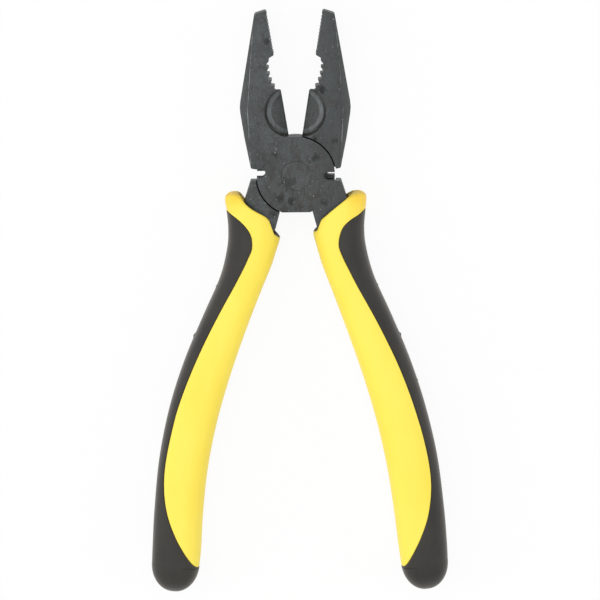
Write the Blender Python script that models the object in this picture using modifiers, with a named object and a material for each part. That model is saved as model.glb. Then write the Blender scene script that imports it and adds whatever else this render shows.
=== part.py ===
"""Combination (lineman) pliers with a riveted lap joint and two-part moulded grips.

Each lever is one forging: a jaw, half of the joint's disc, a neck and a tang inside the grip. The second
lever is the same forging turned over, so that the two half discs lap round one rivet. Everything on a lever
is drawn in the lever's own plan with the pliers closed: the jaw to the left of the centre line, the handle
to the right, the pivot at the origin and the mid-plane of the head at z = 0. Two empties on the pivot axis
then open the levers.
"""

import math

import bmesh
import bpy
import numpy as np
from mathutils import Matrix, Vector

# Joint, in metres
HEAD_THICKNESS = 0.0115
DISC_RADIUS = 0.0133
DISC_FLAT_CUT = 0.00085
LAP_GAP = 0.0003
SHOULDER_GAP = 0.0005
OPENING = math.radians(9.25)

# Rivet
RIVET_SHANK_RADIUS = 0.0039
RIVET_HEAD_RADIUS = 0.00495
RIVET_FLARE = 0.0013
RIVET_CLEARANCE = 0.0001
RIVET_SIDES = 64

# Wire-shear slots in the rim of each half disc: width, middle of the round floor, bearing in plan
SLOT_WIDTH = 0.0027
JAW_SLOT_FLOOR = (-0.01007, 0.00264)
JAW_SLOT_BEARING = math.radians(170.1)
NECK_SLOT_FLOOR = (0.0094, -0.00165)
NECK_SLOT_BEARING = math.radians(-9.8)

# Jaw
JAW_REACH = 0.0571
JAW_TIP_WIDTH = 0.0046
JAW_TIP_DROP = 0.0006
TIP_INNER_RADIUS = 0.0007
TIP_OUTER_RADIUS = 0.0010
NOSE_THICKNESS = 0.0092
NOSE_TAPER_START = 0.0315
CHEEK_HALF_WIDTH = 0.0151
CHEEK_HEIGHT = 0.0258
JAW_BASE_HEIGHT = 0.0051
JAW_BASE_HALF_WIDTH = 0.01465
CLOSED_CLEARANCE = 0.00012

# Gripping teeth, pipe grip and cutting edge, upwards from the pivot
CUTTER_TOP = 0.0296
CUTTER_CORNER_RADIUS = 0.0007
PIPE_GRIP_START = 0.0297
PIPE_GRIP_END = 0.0408
PIPE_GRIP_MIDDLE = 0.0366
PIPE_GRIP_DEPTH = 0.0027
PIPE_GRIP_RADIUS = 0.0145
PIPE_TOOTH_COUNT = 5
PIPE_TOOTH_DEPTH = 0.0014
PIPE_TOOTH_LEAN = 0.3
FLAT_LAND_START = 0.0418
FLAT_LAND_RADIUS = 0.0004
FLAT_GRIP_START = 0.0430
FLAT_GRIP_END = JAW_REACH - 0.0013
FLAT_GRIP_SIDE = 0.0003
FLAT_TOOTH_COUNT = 11
FLAT_TOOTH_DEPTH = 0.00048

# Ground hollow beside each cutting edge
RELIEF_CENTRE = (0.0018, 0.0219)
RELIEF_RADIUS = 0.0086
RELIEF_STEP = 0.0009
EDGE_LAND = 0.0006

# Ground faces on the outer side of the jaw: where they leave the flat of the head
CHAMFER_TOP = (-0.0056, JAW_REACH - 0.0040)
CHAMFER_CORNER = (-0.0124, 0.0250)
CHAMFER_FOOT = (-0.0145, 0.0065)

# Neck and tang
LEDGE_INNER = (0.0120, -0.00395)
LEDGE_OUTER = (0.0149, -0.00440)
NECK_OUTER = (0.01615, -0.0130)
NECK_OUTER_FOOT = (0.0163, -0.0185)
NECK_INNER = (0.0035, -0.0128)
NECK_INNER_FOOT = (0.0041, -0.0187)
NECK_FULL_TO = -0.0195
TANG_THICK_FROM = -0.0265
TANG_THICKNESS = 0.0068
TANG_TOP_WIDTH = 0.0102
TANG_END_WIDTH = 0.0070
TANG_FIRST_STATION = 4
TANG_LAST_STATION = 11

# Grip: (outer edge), (inner edge) of each cross-section in plan, from the mouth to the butt
GRIP_STATIONS = (
    ((0.0170, -0.0065), (0.0050, -0.0140)),
    ((0.0200, -0.0093), (0.0034, -0.0180)),
    ((0.0221, -0.0125), (0.0024, -0.0210)),
    ((0.0216, -0.0164), (0.0024, -0.0238)),
    ((0.0199, -0.0218), (0.0028, -0.0271)),
    ((0.0194, -0.0284), (0.0037, -0.0322)),
    ((0.0205, -0.0389), (0.0055, -0.0418)),
    ((0.0240, -0.0530), (0.0086, -0.0572)),
    ((0.0277, -0.0691), (0.01145, -0.0734)),
    ((0.0302, -0.0860), (0.01335, -0.0890)),
    ((0.0313, -0.1038), (0.0141, -0.1048)),
    ((0.0306, -0.1216), (0.01375, -0.1201)),
    ((0.0295, -0.1334), (0.0130, -0.1319)),
    ((0.0290, -0.1395), (0.0128, -0.1387)),
)
GRIP_THICKNESS = 0.0185
MOUTH_THINNING = (0.0035, 0.0019, 0.0007, 0.0001)
GRIP_SQUARENESS = 2.8
GRIP_SIDES = 16
BUTT_DEPTH = 0.0099
BUTT_RINGS = 5
RINGS_PER_STATION = 2

# Where the soft outer moulding meets the hard core, from the guard to the butt
PARTING = (
    (0.0255, -0.0142),
    (0.0214, -0.0156),
    (0.0176, -0.0177),
    (0.0145, -0.0196),
    (0.0120, -0.0224),
    (0.0107, -0.0260),
    (0.0110, -0.0292),
    (0.0130, -0.0361),
    (0.0158, -0.0453),
    (0.0200, -0.0571),
    (0.0236, -0.0702),
    (0.0263, -0.0825),
    (0.0279, -0.0947),
    (0.0283, -0.1059),
    (0.0273, -0.1166),
    (0.0246, -0.1252),
    (0.0205, -0.1315),
    (0.0158, -0.1370),
    (0.0105, -0.1415),
)
OVERMOULD_THICKNESS = 0.0017
PARTING_GAP = 0.0003
TANG_CLEARANCE = 0.0003

# Edge of the grip's mouth across the neck, from beyond the guard to the inner lip
MOUTH = (
    (0.0340, -0.0010, 0.0),
    (0.0154, -0.0113, 0.0300),
    (0.0062, -0.0166, 0.0012),
    (0.0042, -0.0200, 0.0006),
    (-0.0050, -0.0216, 0.0),
)

HALF_HEAD = HEAD_THICKNESS / 2
OVERCUT = 0.002
FAR = 0.060
WELD = 1e-6
ARC_STEP = math.radians(12)


# Outlines


def filleted(corners):
    """The outline through (x, y, fillet radius) corners, with each fillet drawn as an arc."""
    points = []
    count = len(corners)
    for index, (x, y, radius) in enumerate(corners):
        here = Vector((x, y))
        if radius == 0:
            points.append((x, y))
            continue
        back = (Vector(corners[index - 1][:2]) - here).normalized()
        ahead = (Vector(corners[(index + 1) % count][:2]) - here).normalized()
        half = back.angle(ahead) / 2
        centre = here + (back + ahead).normalized() * radius / math.sin(half)
        start = here + back * radius / math.tan(half) - centre
        turn = start.angle_signed(here + ahead * radius / math.tan(half) - centre)
        steps = max(2, math.ceil(abs(turn) / ARC_STEP))
        for step in range(steps + 1):
            points.append(tuple(centre + Matrix.Rotation(-turn * step / steps, 2) @ start))
    return points


def smooth(points, per_span):
    """A Catmull-Rom curve through the points, with per_span samples for each span."""
    points = np.array(points, float)
    padded = np.concatenate([2 * points[:1] - points[1:2], points, 2 * points[-1:] - points[-2:-1]])
    t = (np.arange(per_span) / per_span)[:, None, None]
    before, start, end, after = (padded[k : k + len(points) - 1] for k in range(4))
    curve = start + t * (end - before) / 2
    curve = curve + t**2 * (2 * before - 5 * start + 4 * end - after) / 2
    curve = curve + t**3 * (3 * start - before - 3 * end + after) / 2
    shape = (-1, points.shape[1])
    return np.concatenate([curve.transpose(1, 0, 2).reshape(shape), points[-1:]])


def offset(outline, distance):
    """The closed outline moved outwards by the distance. Its points run anticlockwise."""
    points = np.array(outline)
    sides = np.roll(points, -1, axis=0) - points
    normals = np.stack([sides[:, 1], -sides[:, 0]], axis=1)
    normals /= np.linalg.norm(normals, axis=1, keepdims=True)
    mean = normals + np.roll(normals, 1, axis=0)
    mean /= (mean * mean).sum(axis=1, keepdims=True) / 2
    return points + mean * distance


def anticlockwise(outline):
    points = np.array(outline)
    ahead = np.roll(points, -1, axis=0)
    area = (points[:, 0] * ahead[:, 1] - ahead[:, 0] * points[:, 1]).sum()
    return points if area > 0 else points[::-1]


def grip_edges():
    """The outer and the inner edge of the grip in plan, and its height, ring by ring."""
    full = len(GRIP_STATIONS) - len(MOUTH_THINNING)
    heights = [GRIP_THICKNESS - thinning for thinning in MOUTH_THINNING] + [GRIP_THICKNESS] * full
    rows = [(*outer, *inner, height) for (outer, inner), height in zip(GRIP_STATIONS, heights)]
    curve = smooth(rows, RINGS_PER_STATION)
    return curve[:, 0:2], curve[:, 2:4], curve[:, 4].clip(max=GRIP_THICKNESS)


def pipe_grip_depth(y):
    """How far back from the closing line the tooth tips of the round grip lie."""
    return PIPE_GRIP_DEPTH - (y - PIPE_GRIP_MIDDLE) ** 2 / (2 * PIPE_GRIP_RADIUS)


def jaw_outline():
    """Plan of the jaw: up its inner face, round the tip and down its outer edge."""
    face = -CLOSED_CLEARANCE
    flat = face - FLAT_GRIP_SIDE
    corners = [(face, 0, 0), (face, CUTTER_TOP, CUTTER_CORNER_RADIUS)]
    pitch = (PIPE_GRIP_END - PIPE_GRIP_START) / PIPE_TOOTH_COUNT
    for tooth in range(PIPE_TOOTH_COUNT):
        root = PIPE_GRIP_START + pitch * tooth
        tip = root + pitch * (1 - PIPE_TOOTH_LEAN)
        corners.append((face - pipe_grip_depth(root) - PIPE_TOOTH_DEPTH, root, 0))
        corners.append((face - pipe_grip_depth(tip), tip, 0))
    corners.append((face - pipe_grip_depth(PIPE_GRIP_END) - PIPE_TOOTH_DEPTH / 2, PIPE_GRIP_END, 0))
    corners.append((flat, FLAT_LAND_START, FLAT_LAND_RADIUS))
    pitch = (FLAT_GRIP_END - FLAT_GRIP_START) / FLAT_TOOTH_COUNT
    for tooth in range(FLAT_TOOTH_COUNT):
        root = FLAT_GRIP_START + pitch * tooth
        corners.append((flat, root, 0))
        corners.append((flat - FLAT_TOOTH_DEPTH, root + pitch / 2, 0))
    corners += [
        (flat, FLAT_GRIP_END, 0),
        (flat, JAW_REACH, TIP_INNER_RADIUS),
        (-JAW_TIP_WIDTH, JAW_REACH - JAW_TIP_DROP, TIP_OUTER_RADIUS),
        (-CHEEK_HALF_WIDTH, CHEEK_HEIGHT, 0.0120),
        (-CHEEK_HALF_WIDTH, (CHEEK_HEIGHT + JAW_BASE_HEIGHT) / 2, 0),
        (-JAW_BASE_HALF_WIDTH, JAW_BASE_HEIGHT, 0.0006),
        (-DISC_RADIUS * math.cos(math.radians(19)), DISC_RADIUS * math.sin(math.radians(19)), 0),
        (-DISC_RADIUS / 2, 0, 0),
    ]
    return anticlockwise(filleted(corners))


def handle_outline():
    """Plan of the neck and the tang: down the outer side and back up the inner side."""
    outer, inner, _ = grip_edges()
    first = TANG_FIRST_STATION * RINGS_PER_STATION
    last = TANG_LAST_STATION * RINGS_PER_STATION
    outer, inner = outer[first : last + 1], inner[first : last + 1]
    middle = (outer + inner) / 2
    across = (outer - inner) / np.linalg.norm(outer - inner, axis=1, keepdims=True)
    half = np.linspace(TANG_TOP_WIDTH, TANG_END_WIDTH, len(middle))[:, None] / 2
    along = (middle[-1] - middle[-2]) / np.linalg.norm(middle[-1] - middle[-2])
    turns = np.linspace(0, math.pi, 9)[1:-1, None]
    end = middle[-1] + half[-1] * (across[-1] * np.cos(turns) + along * np.sin(turns))
    neck_outer = filleted([(0, 0, 0), (*LEDGE_INNER, 0), (*LEDGE_OUTER, 0.0005), (*NECK_OUTER, 0)])
    neck_inner = [NECK_INNER_FOOT, NECK_INNER, (DISC_RADIUS * 0.2, -DISC_RADIUS * 0.85)]
    sides = [neck_outer, [NECK_OUTER_FOOT], middle + half * across, end]
    sides += [(middle - half * across)[::-1], neck_inner]
    return anticlockwise(np.concatenate([np.array(side) for side in sides]))


def slot_outline(floor, bearing):
    """Plan of a slot that runs outwards along its bearing, with a round floor."""
    half = SLOT_WIDTH / 2
    turns = [math.pi / 2 + math.pi * step / 10 for step in range(11)]
    points = [(half + half * math.cos(turn), half * math.sin(turn)) for turn in turns]
    points += [(FAR / 4, -half), (FAR / 4, half)]
    bend = Matrix.Rotation(bearing, 2)
    return [tuple(Vector(floor) + bend @ Vector(point)) for point in points]


def disc_outline():
    """Plan of a half disc: round, with a flat that lies level under the pivot when the pliers are open."""
    half = math.acos(1 - DISC_FLAT_CUT / DISC_RADIUS)
    steps = 90
    turns = [half + (2 * math.pi - 2 * half) * step / steps for step in range(steps + 1)]
    bend = Matrix.Rotation(-math.pi / 2 - OPENING, 2)
    return [tuple(DISC_RADIUS * (bend @ Vector((math.cos(turn), math.sin(turn))))) for turn in turns]


# Solids


def collection(name, hidden):
    made = bpy.data.collections.new(name)
    bpy.context.scene.collection.children.link(made)
    made.hide_render = hidden
    return made


def mesh_object(name, mesh):
    """A pattern or a cutter: it shapes other pieces and isn't part of the model."""
    made = bpy.data.objects.new(name, mesh)
    made.hide_render = True
    made.display_type = "WIRE"
    cutters.objects.link(made)
    return made


def closed_mesh(name, build):
    """The mesh that build draws into a bmesh, welded and with its faces pointing out."""
    drawn = bmesh.new()
    build(drawn)
    bmesh.ops.remove_doubles(drawn, verts=drawn.verts, dist=WELD)
    bmesh.ops.recalc_face_normals(drawn, faces=drawn.faces)
    mesh = bpy.data.meshes.new(name)
    drawn.to_mesh(mesh)
    drawn.free()
    return mesh


def evaluated_mesh(obj, name):
    """The object's mesh with its modifiers applied, as a mesh of its own."""
    graph = bpy.context.evaluated_depsgraph_get()
    return bpy.data.meshes.new_from_object(obj.evaluated_get(graph), depsgraph=graph)


def plate(name, outline, low, high):
    """A flat plate of the plan outline, between two heights."""
    curve = bpy.data.curves.new(name, "CURVE")
    curve.dimensions = "2D"
    curve.fill_mode = "BOTH"
    curve.extrude = (high - low) / 2
    spline = curve.splines.new("POLY")
    spline.points.add(len(outline) - 1)
    for point, (x, y) in zip(spline.points, outline):
        point.co = (x, y, 0, 1)
    spline.use_cyclic_u = True
    drawn = bpy.data.objects.new(name + "_curve", curve)
    cutters.objects.link(drawn)
    bpy.context.view_layer.update()
    flat = evaluated_mesh(drawn, name)
    bpy.data.objects.remove(drawn)
    flat.transform(Matrix.Translation((0, 0, (low + high) / 2)))
    mesh = closed_mesh(name, lambda drawing: drawing.from_mesh(flat))
    return mesh_object(name, mesh)


def side_profile(name, outline, low, high):
    """A bar along X whose outline is given as (y, z) points."""
    bar = plate(name, outline, low, high)
    bar.data.transform(Matrix(((0, 0, 1, 0), (1, 0, 0, 0), (0, 1, 0, 0), (0, 0, 0, 1))))
    return bar


def cylinder(name, radius, low, high, centre=(0, 0), sides=96):
    place = Matrix.Translation((*centre, (low + high) / 2))

    def build(drawing):
        bmesh.ops.create_cone(
            drawing,
            cap_ends=True,
            segments=sides,
            radius1=radius,
            radius2=radius,
            depth=high - low,
            matrix=place,
        )

    return mesh_object(name, closed_mesh(name, build))


def block_beyond(name, first, second, third):
    """A block with one face in the plane of three points, on the side away from the pivot's mid-plane."""
    first, second, third = Vector(first), Vector(second), Vector(third)
    along = (second - first).normalized()
    normal = along.cross(third - first).normalized()
    if normal.z * first.z < 0:
        normal = -normal
    turn = Matrix((along, normal.cross(along), normal)).transposed().to_4x4()
    place = Matrix.Translation((first + second) / 2 + normal * FAR / 2) @ turn

    def build(drawing):
        bmesh.ops.create_cube(drawing, size=FAR, matrix=place)

    return mesh_object(name, closed_mesh(name, build))


def turned(name, profile, steps):
    """A solid turned round Z from (radius, height) points that run down its outer side."""
    mesh = bpy.data.meshes.new(name)
    edges = [(index, index + 1) for index in range(len(profile) - 1)]
    mesh.from_pydata([(radius, 0, height) for radius, height in profile], edges, [])
    made = bpy.data.objects.new(name, mesh)
    screw = made.modifiers.new("Turn", "SCREW")
    screw.steps = screw.render_steps = steps
    screw.use_merge_vertices = True
    screw.merge_threshold = WELD
    return made


def loft(name, rings, pole):
    """A closed skin over a row of rings with as many points each, flat at the first and drawn to a pole."""
    sides = len(rings[0])
    points = [tuple(point) for ring in rings for point in ring] + [tuple(pole)]
    faces = [tuple(range(sides))]
    for ring in range(len(rings) - 1):
        for side in range(sides):
            here, ahead = ring * sides + side, ring * sides + (side + 1) % sides
            faces.append((here, ahead, ahead + sides, here + sides))
    start = (len(rings) - 1) * sides
    faces += [(start + side, start + (side + 1) % sides, len(points) - 1) for side in range(sides)]
    mesh = bpy.data.meshes.new(name)
    mesh.from_pydata(points, [], faces)
    return mesh_object(name, closed_mesh(name, lambda drawing: drawing.from_mesh(mesh)))


def shaped(base, operation, *tools):
    """The base with a Boolean for each tool, added to its modifiers."""
    for tool in tools:
        step = base.modifiers.new(tool.name, "BOOLEAN")
        step.operation = operation
        step.solver = "EXACT"
        step.object = tool
    return base


# Lever


def relief(side):
    """The hollow ground beside the cutting edge on one face: round in plan, sloping down to the edge."""
    face = side * HALF_HEAD
    low, high = sorted((0, face + side * OVERCUT))
    x, y = RELIEF_CENTRE
    edge = side * EDGE_LAND / 2
    rim = (x - RELIEF_RADIUS, y, face - side * RELIEF_STEP)
    above = block_beyond(f"relief_floor_{side}", (0, y, edge), (0, y + RELIEF_RADIUS, edge), rim)
    hollow = cylinder(f"relief_{side}", RELIEF_RADIUS, low, high, RELIEF_CENTRE)
    return shaped(hollow, "INTERSECT", above)


def outer_chamfers(side):
    """The two faces ground on the outer side of the jaw, which meet the mid-plane at the cheek."""
    face = side * HALF_HEAD
    apex = (-CHEEK_HALF_WIDTH, CHEEK_HEIGHT, 0)
    nose = side * NOSE_THICKNESS / 2
    upper = ((*CHAMFER_CORNER, face), (*CHAMFER_TOP, nose), apex)
    lower = ((*CHAMFER_FOOT, face), (*CHAMFER_CORNER, face), apex)
    names = (f"upper_chamfer_{side}", f"lower_chamfer_{side}")
    return [block_beyond(name, *plane) for name, plane in zip(names, (upper, lower))]


def nose_taper():
    """Side view of the jaw: as thick as the head, then thinner towards the tip."""
    thick, thin = HALF_HEAD + OVERCUT, NOSE_THICKNESS / 2
    flat, tip = HALF_HEAD, JAW_REACH
    upper = [(-FAR, thick), (NOSE_TAPER_START, thick), (NOSE_TAPER_START, flat), (tip, thin)]
    upper += [(tip + OVERCUT, thin)]
    lower = [(y, -z) for y, z in reversed(upper)]
    return side_profile("nose_taper", anticlockwise(upper + lower), -FAR, FAR)


def handle_taper(grow):
    """Side view of the neck and the tang: as thick as the head down to the grip's mouth, then thinner."""
    neck, tang = HALF_HEAD + grow, TANG_THICKNESS / 2 + grow
    upper = [(FAR, neck), (NECK_FULL_TO - grow, neck), (TANG_THICK_FROM - grow, tang), (-3 * FAR, tang)]
    lower = [(y, -z) for y, z in reversed(upper)]
    return side_profile(f"handle_taper_{grow}", anticlockwise(upper + lower), -FAR, FAR)


def handle_solid(name, grow):
    """The neck and the tang, larger all round by grow."""
    half = HALF_HEAD + grow
    solid = plate(name, offset(handle_outline(), grow), -half, half)
    return shaped(solid, "INTERSECT", handle_taper(grow))


def rivet_profile(grow, over):
    """(radius, height) of the rivet, whose ends flare into the countersinks."""
    end, shank = HALF_HEAD - RIVET_FLARE, RIVET_SHANK_RADIUS + grow
    head = RIVET_HEAD_RADIUS + grow
    flare = (head - shank) / RIVET_FLARE
    rim = head + flare * over
    half = [(0, HALF_HEAD + over), (rim, HALF_HEAD + over), (shank, end)]
    return half + [(radius, -height) for radius, height in reversed(half)]


def forging():
    """One lever: jaw, half disc, neck and tang."""
    jaw = plate("jaw", jaw_outline(), -HALF_HEAD, HALF_HEAD)
    shaped(jaw, "INTERSECT", nose_taper())
    for side in (1, -1):
        shaped(jaw, "DIFFERENCE", relief(side), *outer_chamfers(side))
    disc = plate("disc", disc_outline(), LAP_GAP / 2, HALF_HEAD)
    recess = cylinder("recess", DISC_RADIUS + SHOULDER_GAP, -FAR / 2, LAP_GAP / 2)
    handle = handle_solid("handle", 0)
    shaped(jaw, "DIFFERENCE", recess)
    shaped(handle, "DIFFERENCE", recess)
    rivet_hole = turned("rivet_hole", rivet_profile(RIVET_CLEARANCE, OVERCUT), RIVET_SIDES)
    rivet_hole.hide_render = True
    rivet_hole.display_type = "WIRE"
    cutters.objects.link(rivet_hole)
    shaped(jaw, "UNION", disc, handle)
    jaw_slot = plate("jaw_slot", slot_outline(JAW_SLOT_FLOOR, JAW_SLOT_BEARING), -FAR / 2, FAR / 2)
    neck_slot = plate("neck_slot", slot_outline(NECK_SLOT_FLOOR, NECK_SLOT_BEARING), -FAR / 2, FAR / 2)
    return shaped(jaw, "DIFFERENCE", jaw_slot, neck_slot, rivet_hole)


# Grip


def grip_rings(inset):
    """Cross-sections of the grip, smaller by inset all round, and the pole of its butt."""
    outer, inner, heights = grip_edges()
    middle = (outer + inner) / 2
    reach = np.linalg.norm(outer - inner, axis=1) / 2
    across = (outer - inner) / (2 * reach[:, None])
    along = (middle[-1] - middle[-3]) / np.linalg.norm(middle[-1] - middle[-3])
    turns = np.arange(1, BUTT_RINGS + 1) / (BUTT_RINGS + 1) * math.pi / 2
    depth = BUTT_DEPTH - inset
    middle = np.concatenate([middle, middle[-1] + depth * np.sin(turns)[:, None] * along])
    across = np.concatenate([across, np.repeat(across[-1:], BUTT_RINGS, axis=0)])
    shrink = np.concatenate([np.ones(len(reach)), np.cos(turns)])
    reach = (np.concatenate([reach, np.repeat(reach[-1], BUTT_RINGS)]) - inset) * shrink
    rise = (np.concatenate([heights, np.repeat(heights[-1], BUTT_RINGS)]) / 2 - inset) * shrink
    turn = (np.arange(GRIP_SIDES) + 0.5) * 2 * math.pi / GRIP_SIDES
    power = 2 / GRIP_SQUARENESS
    wide = np.sign(np.cos(turn)) * np.abs(np.cos(turn) / np.cos(turn[0])) ** power
    high = np.sign(np.sin(turn)) * np.abs(np.sin(turn) / np.cos(turn[0])) ** power
    plan = middle[:, None] + (reach[:, None] * wide)[..., None] * across[:, None]
    rings = np.concatenate([plan, (rise[:, None] * high)[..., None]], axis=2)
    return rings, (*(middle[-1] + depth * (1 - math.sin(turns[-1])) * along), 0)


def grip_solid(name, inset):
    rings, pole = grip_rings(inset)
    if inset:
        lead = (rings[0] - rings[1]) * 0.3
        rings = np.concatenate([[rings[0] + lead], rings[1:]])
    return loft(name, rings, pole)


def parting_side(name, moved, outer_side):
    """Everything on one side of the parting line, which is moved sideways first."""
    line = smooth(PARTING, 4)
    ahead = np.gradient(line, axis=0)
    normal = np.stack([-ahead[:, 1], ahead[:, 0]], axis=1) / np.linalg.norm(ahead, axis=1)[:, None]
    line = line + normal * moved
    far = FAR if outer_side else -FAR
    corners = [(line[-1, 0], -4 * FAR), (far, -4 * FAR), (far, FAR), (line[0, 0], FAR)]
    return plate(name, anticlockwise(np.concatenate([line, corners])), -FAR / 2, FAR / 2)


def grip_core():
    """The hard moulding: bare on the inner side, set back under the overmould on the outer side."""
    inner_side = shaped(grip_solid("grip_form", 0), "INTERSECT", parting_side("inner_side", 0, False))
    under = grip_solid("grip_under", OVERMOULD_THICKNESS + PARTING_GAP)
    shaped(inner_side, "UNION", under)
    mouth = plate("mouth", anticlockwise(filleted(MOUTH) + [(-FAR, FAR), (FAR, FAR)]), -FAR, FAR)
    return shaped(inner_side, "DIFFERENCE", mouth, handle_solid("tang_socket", TANG_CLEARANCE))


def grip_overmould():
    """The soft moulding: a skin round the outer side and the whole butt."""
    skin = grip_solid("overmould_form", 0)
    shaped(skin, "INTERSECT", parting_side("outer_side", PARTING_GAP, True))
    return shaped(skin, "DIFFERENCE", grip_solid("overmould_bed", OVERMOULD_THICKNESS))


# Materials and placing


def material(name, colour, roughness, metallic):
    made = bpy.data.materials.new(name)
    made.use_nodes = True
    shader = made.node_tree.nodes["Principled BSDF"]
    shader.inputs["Base Color"].default_value = (*colour, 1)
    shader.inputs["Roughness"].default_value = roughness
    shader.inputs["Metallic"].default_value = metallic
    return made


def axis_empty(name, rotation):
    """An empty on the pivot axis, in the head's mid-plane."""
    made = bpy.data.objects.new(name, None)
    made.location = (0, 0, HALF_HEAD)
    made.rotation_euler = rotation
    part.objects.link(made)
    return made


def place(name, mesh, parent, finish):
    made = bpy.data.objects.new(name, mesh)
    made.parent = parent
    part.objects.link(made)
    if not mesh.materials:
        mesh.materials.append(finish)
    else:
        mesh.materials[0] = finish
    mesh.shade_smooth()
    mesh.set_sharp_from_angle(angle=math.radians(30))
    return made


for leftover in list(bpy.data.objects):
    bpy.data.objects.remove(leftover)

part = collection("lineman_pliers", False)
cutters = collection("lineman_pliers_cutters", True)

black_steel = material("black_steel", (0.075, 0.085, 0.085), 0.45, 0.6)
rivet_steel = material("rivet_steel", (0.085, 0.09, 0.09), 0.42, 0.6)
yellow_plastic = material("yellow_plastic", (0.95, 0.75, 0.08), 0.45, 0.0)
black_rubber = material("black_rubber", (0.045, 0.045, 0.042), 0.65, 0.0)

lever_solid = forging()
core_solid = grip_core()
overmould_solid = grip_overmould()
bpy.context.view_layer.update()
lever_mesh = evaluated_mesh(lever_solid, "lever")
core_mesh = evaluated_mesh(core_solid, "grip_core")
overmould_mesh = evaluated_mesh(overmould_solid, "grip_overmould")

front_axis = axis_empty("front_axis", (0, 0, OPENING))
back_axis = axis_empty("back_axis", (0, math.pi, -OPENING))

place("front_lever", lever_mesh, front_axis, black_steel)
place("back_lever", lever_mesh, back_axis, black_steel)
for side, axis in (("right", front_axis), ("left", back_axis)):
    place(f"{side}_grip_core", core_mesh, axis, yellow_plastic)
    place(f"{side}_grip_overmould", overmould_mesh, axis, black_rubber)

pivot_rivet = turned("pivot_rivet", rivet_profile(0, 0), RIVET_SIDES)
pivot_rivet.parent = front_axis
pivot_rivet.data.materials.append(rivet_steel)
part.objects.link(pivot_rivet)
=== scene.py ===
# %% [markdown]
# # Combination pliers, dressed
#
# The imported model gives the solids, the joint and the frame that everything shares: the pivot axis is Z, the
# back of the joint lies at z = 0, the jaws point along +Y and all lengths are in metres. This lesson keeps
# that frame and gives each piece the look of the real one. The forgings get worn edges and a blackened
# finish, and the grips get the crowned, rounded form of a two-part moulding.

import math

import bmesh
import bpy
import numpy as np
from mathutils import Matrix, Vector


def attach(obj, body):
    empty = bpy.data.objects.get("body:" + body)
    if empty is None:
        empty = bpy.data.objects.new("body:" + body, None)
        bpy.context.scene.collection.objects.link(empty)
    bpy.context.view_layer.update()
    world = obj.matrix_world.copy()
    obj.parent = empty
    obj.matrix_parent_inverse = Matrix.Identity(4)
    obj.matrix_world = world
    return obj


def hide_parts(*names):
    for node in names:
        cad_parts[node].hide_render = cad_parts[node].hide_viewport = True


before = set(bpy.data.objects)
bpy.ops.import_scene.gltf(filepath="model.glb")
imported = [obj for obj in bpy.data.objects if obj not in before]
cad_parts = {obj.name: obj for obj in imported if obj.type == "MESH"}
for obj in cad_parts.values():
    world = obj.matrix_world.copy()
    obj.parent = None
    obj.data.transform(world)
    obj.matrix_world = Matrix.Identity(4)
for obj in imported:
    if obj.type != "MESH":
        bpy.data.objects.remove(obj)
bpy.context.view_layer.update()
print("nodes:", sorted(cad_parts))

# %% [markdown]
# ## Camera
#
# The picture was taken from nearly straight above, with a long lens, so parallel edges stay parallel. The
# camera leans 7.3 degrees to the far side of the jaws, so the back half of the joint shows as a thin crescent
# above the front half. It is placed from one fact: the pivot falls on one pixel at a known scale.

# %% Camera at the picture's angle
PICTURE = 600
METRES_PER_PIXEL = 0.00034
PIVOT_PIXEL = (295.9, 176.0)
PIVOT_TOP = Vector((0, 0, 0.0115))
CAMERA_TILT = math.radians(7.3)
CAMERA_ROLL = math.radians(0.55)
CAMERA_DISTANCE = 2.0
SENSOR = 36.0

back = Vector((0, math.sin(CAMERA_TILT), math.cos(CAMERA_TILT)))
roll = Matrix.Rotation(-CAMERA_ROLL, 3, back)
right = roll @ Vector((1, 0, 0))
up = roll @ back.cross(Vector((1, 0, 0)))
across = (PICTURE / 2 - PIVOT_PIXEL[0]) * METRES_PER_PIXEL
down = (PICTURE / 2 - PIVOT_PIXEL[1]) * METRES_PER_PIXEL
aim = PIVOT_TOP + right * across - up * down

camera_data = bpy.data.cameras.new("camera")
camera_data.sensor_width = SENSOR
camera_data.lens = SENSOR * CAMERA_DISTANCE / (PICTURE * METRES_PER_PIXEL)
camera = bpy.data.objects.new("camera", camera_data)
turn = Matrix((right, up, back)).transposed().to_4x4()
camera.matrix_world = Matrix.Translation(aim + back * CAMERA_DISTANCE) @ turn
bpy.context.scene.collection.objects.link(camera)
bpy.context.scene.camera = camera
print("lens:", round(camera_data.lens, 1), "mm")

# %% [markdown]
# ## Writing materials as sums
#
# A procedural material is arithmetic on textures. Written node by node, that is hard to see, so a small class
# wraps an output socket and turns +, - and * into Math nodes. Every other node comes from one method.

# %% A socket that can be added, subtracted and multiplied
class Signal:
    """An output socket of a tree. Arithmetic on it adds a Math node and gives that node's output."""

    def __init__(self, tree, socket):
        self.tree = tree
        self.socket = socket

    def sum(self, operation, first, second):
        """The output of a new Math node on the two."""
        return self.tree.node("ShaderNodeMath", {"operation": operation}, {0: first, 1: second})

    def __add__(self, other):
        return self.sum("ADD", self, other)

    def __sub__(self, other):
        return self.sum("SUBTRACT", self, other)

    def __rsub__(self, other):
        return self.sum("SUBTRACT", other, self)

    def __mul__(self, other):
        return self.sum("MULTIPLY", self, other)

    __radd__ = __add__
    __rmul__ = __mul__


# %% A tree of nodes, and a material written in one
class Tree:
    """A node tree being written."""

    def __init__(self, tree):
        self.tree = tree

    def node(self, kind, settings, values, output=0):
        """One output of a new node. Its settings come first, then its sockets' values or links."""
        made = self.tree.nodes.new(kind)
        for name, setting in settings.items():
            setattr(made, name, setting)
        self.fill(made, values)
        return Signal(self, made.outputs[output])

    def fill(self, made, values):
        """Links each value that is a Signal to its socket, and sets the others on theirs."""
        for name, value in values.items():
            if isinstance(value, Signal):
                self.tree.links.new(value.socket, made.inputs[name])
            else:
                made.inputs[name].default_value = value


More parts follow.
